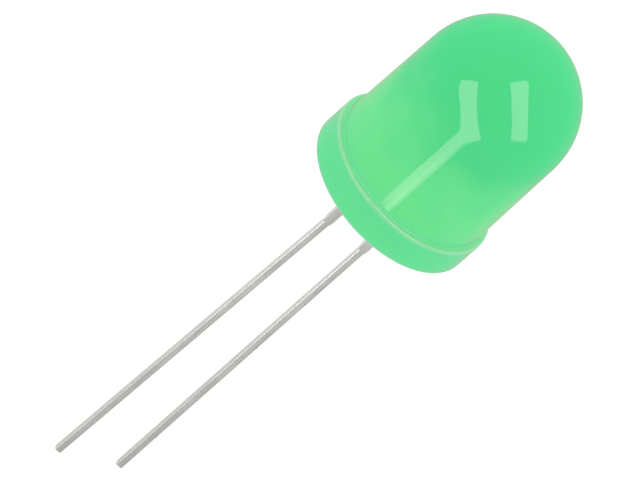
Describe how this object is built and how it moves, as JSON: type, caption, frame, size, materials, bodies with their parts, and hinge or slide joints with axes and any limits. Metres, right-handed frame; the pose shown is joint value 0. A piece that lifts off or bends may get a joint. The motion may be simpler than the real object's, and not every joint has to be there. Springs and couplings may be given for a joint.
{
  "type": "through hole led",
  "caption": "Round green diffused indicator lamp with a stepped flange and straight tinned leads, the anode longer than the cathode.",
  "frame": {"origin": "on the lens axis, in the flat base of the flange, where the part seats on its board", "axes": "+Z along the lens axis towards the dome, so the leads hang down -Z; +X towards the longer lead, the anode; Y across the leads"},
  "size_m": [0.0107, 0.0106, 0.0414],
  "materials": {
    "green_epoxy": "gloss",
    "tinned_steel": "satin",
    "semiconductor": "gloss",
    "silver_epoxy": "matte",
    "gold_wire": "polished"
  },
  "bodies": {
    "root": {"epoxy_body": "green_epoxy", "cathode_lead": "tinned_steel", "anode_lead": "tinned_steel", "led_die": "semiconductor", "die_glue": "silver_epoxy", "bond_wire": "gold_wire"}
  },
  "joints": []
}
